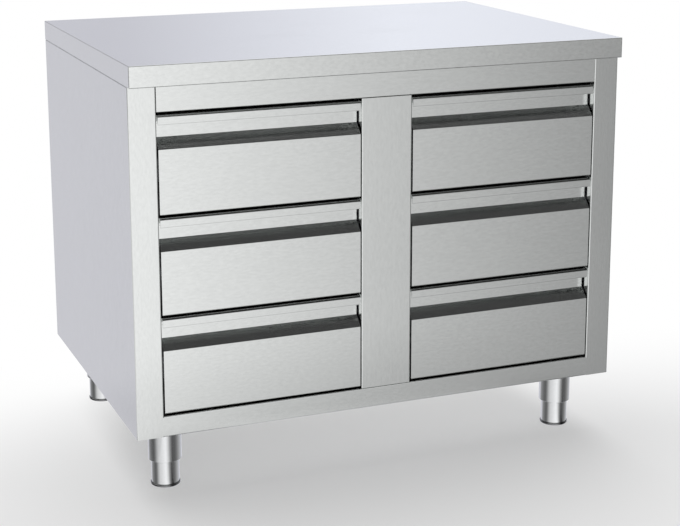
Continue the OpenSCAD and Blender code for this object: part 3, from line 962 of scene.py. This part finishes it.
@dataclass
class Floor(Ground):
    """White floor that the camera sees, which fades into the backdrop behind the table."""

    name: ClassVar[str] = "studio_floor"
    radius: float = 14.0
    glow: float = 0.40
    paint: float = 0.42
    fades: Span = (-0.32, 0.42)
    fade_slant: float = 0.16
    # painted shadow: the under fields lower the floor's glow in a patch under the table
    painted_shadow_depth: float = 0.145
    under_begins: Span = (-0.28, 0.06)
    under_ends: Span = (0.12, 0.36)
    under_half: Span = (0.38, 0.50)

    def material(self) -> bpy.types.Material:
        """Makes the floor, with a shadow painted into its glow under the table.

        Returns:
            The floor's material.
        """
        made, wiring = bare_material(self.name)
        across, inwards, _ = wiring.axes(wiring.coordinates("Object"))
        far = wiring.spread(wiring.maths("MULTIPLY_ADD", across, self.fade_slant, inwards), *self.fades)
        # painted shadow under the table, taken off the glow
        under = wiring.product(wiring.spread(inwards, *self.under_begins, 0.0, self.painted_shadow_depth),
                               wiring.spread(inwards, *self.under_ends, 1.0, 0.0),
                               wiring.spread(wiring.maths("ABSOLUTE", across), *self.under_half, 1.0, 0.0))
        matt = wiring.node("ShaderNodeBsdfDiffuse")
        paint = wiring.product(wiring.maths("SUBTRACT", 1.0, far), self.paint)
        wiring.feed(matt.inputs["Color"], wiring.shaded(WHITE, paint))
        lit = wiring.spread(far, 0.0, 1.0, self.glow, 1.0, smooth=False)
        self.glowing(wiring, matt, wiring.maths("SUBTRACT", lit, under))
        return made

    def build(self) -> None:
        """Lays the floor, which the steel doesn't mirror."""
        self.lay().visible_glossy = False


@dataclass(frozen=True)
class Fan:
    """Floor in some directions from a point, in degrees from the front towards the right.

    Its strength grows over opens and fades over closes. Its reach is how far off it is full, and
    how far off it has gone.
    """

    strength: float
    opens: Span
    closes: Span
    reach: Span

    def draw(self, wiring: Wiring, aside: Socket, behind: Socket) -> Socket:
        """Draws the fan.

        Args:
            wiring: Wiring of the material.
            aside: Distance to the right of the point.
            behind: Distance behind the point.

        Returns:
            Its strength at each place.
        """
        turn = wiring.maths("ARCTAN2", aside, wiring.product(behind, -1.0))
        off = wiring.maths("SQRT", wiring.maths("MULTIPLY_ADD", aside, aside,
                                                wiring.product(behind, behind)))
        opened = wiring.spread(turn, *map(math.radians, self.opens), 0.0, self.strength)
        closed = wiring.spread(turn, *map(math.radians, self.closes), 1.0, 0.0)
        return wiring.product(wiring.spread(off, *self.reach, 1.0, 0.0), opened, closed)


@dataclass
class MirroredShade(Ground):
    """The table's own shade on the floor, as only the lower sheets and the legs mirror it."""

    name: ClassVar[str] = "studio_shade"
    radius: float = 4.3
    begins: Span = (-0.60, -0.66)
    rail_depth: float = 0.11
    rail_fades: Span = (-0.71, -0.77)
    rail_across: Span = (-0.36, -0.08)
    front_depth: float = 0.17
    front_fades: Span = (-0.80, -1.20)
    front_lean: float = 0.4
    front_middle: float = -0.28
    front_half: Span = (0.20, 0.90)
    side_depth: float = 0.12
    side_begins: Span = (0.42, 0.10)
    side_outer: Span = (-0.76, -0.68)
    side_inner: Span = (-0.56, -0.60)
    leg: Span = (0.425, 0.252)
    by_leg: Fan = Fan(0.58, opens=(-14.0, 18.0), closes=(30.0, 42.0), reach=(0.36, 0.40))
    # painted highlight: a fan of floor from the front left corner glows, so that the corner's bends mirror
    # a bright line
    corner: Span = (-0.50, -0.34)
    corner_highlight_glow: Fan = Fan(0.60, opens=(-150.0, -138.0), closes=(-96.0, -62.0), reach=(0.37, 0.31))

    def before_front(self, wiring: Wiring, across: Socket, inwards: Socket) -> Socket:
        """Shades the floor before the table, most of all what the bottom rail mirrors.

        Args:
            wiring: Wiring of the material.
            across: Place on the floor along X.
            inwards: Place on the floor along Y.

        Returns:
            How much is taken away, from 0 to 1.
        """
        by_rail = wiring.product(wiring.spread(inwards, *self.rail_fades, self.rail_depth, 0.0),
                                 wiring.spread(across, *self.rail_across))
        by_front = wiring.spread(inwards, *self.front_fades, self.front_depth, 0.0)
        middle = wiring.maths("SUBTRACT", across, self.front_middle)
        aside = wiring.maths("ABSOLUTE", wiring.maths("MULTIPLY_ADD", inwards, self.front_lean, middle))
        return wiring.product(wiring.spread(inwards, *self.begins), wiring.maths("ADD", by_rail, by_front),
                              wiring.spread(aside, *self.front_half, 1.0, 0.0))

    def beside_panel(self, wiring: Wiring, across: Socket, inwards: Socket) -> Socket:
        """Shades a strip of the floor to the left of the table, which the left panel mirrors.

        Args:
            wiring: Wiring of the material.
            across: Place on the floor along X.
            inwards: Place on the floor along Y.

        Returns:
            How much is taken away, from 0 to 1.
        """
        return wiring.product(wiring.spread(inwards, *self.side_begins, 0.0, self.side_depth),
                              wiring.spread(across, *self.side_outer),
                              wiring.spread(across, *self.side_inner))

    def material(self) -> bpy.types.Material:
        """Makes the shade, with a glowing fan of floor that paints a highlight on the bends of the front
        left corner.

        Returns:
            A clear material that darkens what is seen through it, and glows in the fan by the corner.
        """
        made, wiring = bare_material(self.name)
        across, inwards, _ = wiring.axes(wiring.coordinates("Object"))
        from_leg = [wiring.maths("SUBTRACT", along, wiring.product(wiring.maths("SIGN", along), place))
                    for along, place in zip((across, inwards), self.leg)]
        from_corner = [wiring.maths("SUBTRACT", along, place)
                       for along, place in zip((across, inwards), self.corner)]
        left = 1.0
        for part in (self.before_front(wiring, across, inwards), self.beside_panel(wiring, across, inwards),
                     self.by_leg.draw(wiring, *from_leg)):
            left = wiring.product(left, wiring.maths("SUBTRACT", 1.0, part))
        clear = wiring.node("ShaderNodeBsdfTransparent")
        wiring.feed(clear.inputs["Color"], wiring.shaded(WHITE, left))
        # painted highlight on the bends of the front left corner
        self.glowing(wiring, clear, self.corner_highlight_glow.draw(wiring, *from_corner))
        return made

    def build(self) -> None:
        """Lays the shade where only reflections meet it."""
        shade = self.lay()
        shade.visible_camera = False
        shade.visible_diffuse = False


@dataclass
class Lamp:
    """Soft lamp over the table's back, which throws the shadow forwards. Its width is in degrees."""

    comes_from: Triple = (0.04, 0.40, 1.0)
    strength: float = 2.12
    width: float = 57.0

    def build(self) -> None:
        """Hangs the lamp, which the steel doesn't mirror."""
        data = bpy.data.lights.new("studio_lamp", "SUN")
        data.energy = self.strength
        data.angle = math.radians(self.width)
        lamp = bpy.data.objects.new("studio_lamp", data)
        lamp.rotation_euler = Vector(self.comes_from).to_track_quat("Z", "Y").to_euler()
        lamp.visible_glossy = False
        bpy.context.scene.collection.objects.link(lamp)


@dataclass
class Room:
    """White backdrop, and the walls and the ceiling that the steel mirrors.

    The strip is a darker stretch of the back wall. Its turn is in degrees from the front, its
    half width in radians. Heights are those of a direction of length 1.
    """

    sides: Tuple[RoomSide, ...] = ROOM_SIDES
    strip_turn: float = -164.0
    strip_half: Span = (0.16, 0.30)
    strip_rises: Span = (0.02, 0.14)
    strip_depth: float = 0.45
    ceiling_begins: Span = (0.42, 0.68)
    ceiling_change: Span = (-0.12, 0.20)
    dark_ceiling: float = 0.058
    pale_ceiling: float = 0.95

    def walls(self, wiring: Wiring, turn: Socket, up: Socket) -> Socket:
        """Tints the walls all round, with the darker strip in the back wall.

        Args:
            wiring: Wiring of the room.
            turn: Direction from the front, in radians.
            up: Height of the direction.

        Returns:
            The walls' colour.
        """
        ramp = wiring.node("ShaderNodeValToRGB")
        wiring.feed(ramp.inputs["Fac"], wiring.spread(turn, -math.pi, math.pi, smooth=False))
        stops = ramp.color_ramp.elements
        while len(stops) < len(self.sides):
            stops.new(1.0)
        for stop, side in zip(stops, self.sides):
            stop.position = side.place()
            stop.color = side.colour()
        aside = wiring.maths("ABSOLUTE", wiring.maths("SUBTRACT", turn, math.radians(self.strip_turn)))
        strip = wiring.product(wiring.spread(aside, *self.strip_half, self.strip_depth, 0.0),
                               wiring.spread(up, *self.strip_rises))
        return wiring.shaded(ramp.outputs["Color"], wiring.maths("SUBTRACT", 1.0, strip))

    def build(self) -> None:
        """Lights the room: white to the camera, walls and a ceiling to everything else."""
        world = bpy.data.worlds.new("studio_room")
        bpy.context.scene.world = world
        world.cycles.sampling_method = "NONE"
        world.use_nodes = True
        world.node_tree.nodes.clear()
        wiring = Wiring(world.node_tree)
        across, inwards, up = wiring.axes(wiring.coordinates("Generated"))
        turn = wiring.maths("ARCTAN2", across, wiring.product(inwards, -1.0))
        tone = wiring.spread(inwards, *self.ceiling_change, self.dark_ceiling, self.pale_ceiling)
        mirrored = wiring.blend(wiring.spread(up, *self.ceiling_begins), self.walls(wiring, turn, up),
                                wiring.shaded(WHITE, tone))
        by_camera = wiring.node("ShaderNodeLightPath").outputs["Is Camera Ray"]
        back = wiring.node("ShaderNodeBackground")
        wiring.feed(back.inputs["Color"], wiring.blend(by_camera, mirrored, WHITE))
        output = wiring.node("ShaderNodeOutputWorld")
        wiring.feed(output.inputs["Surface"], back.outputs[0])


def main() -> None:
    """Builds the view, the room and the table."""
    logging.basicConfig(level=logging.INFO, format="%(name)s: %(message)s")
    studio = (Viewpoint(), Floor(), MirroredShade(), Lamp(), Room())
    table = (Worktop(), Cabinet(), DrawerBank(), Legs())
    for part in studio + table:
        part.build()
        LOG.info("%s ready", type(part).__name__)


if __name__ == "__main__":
    main()
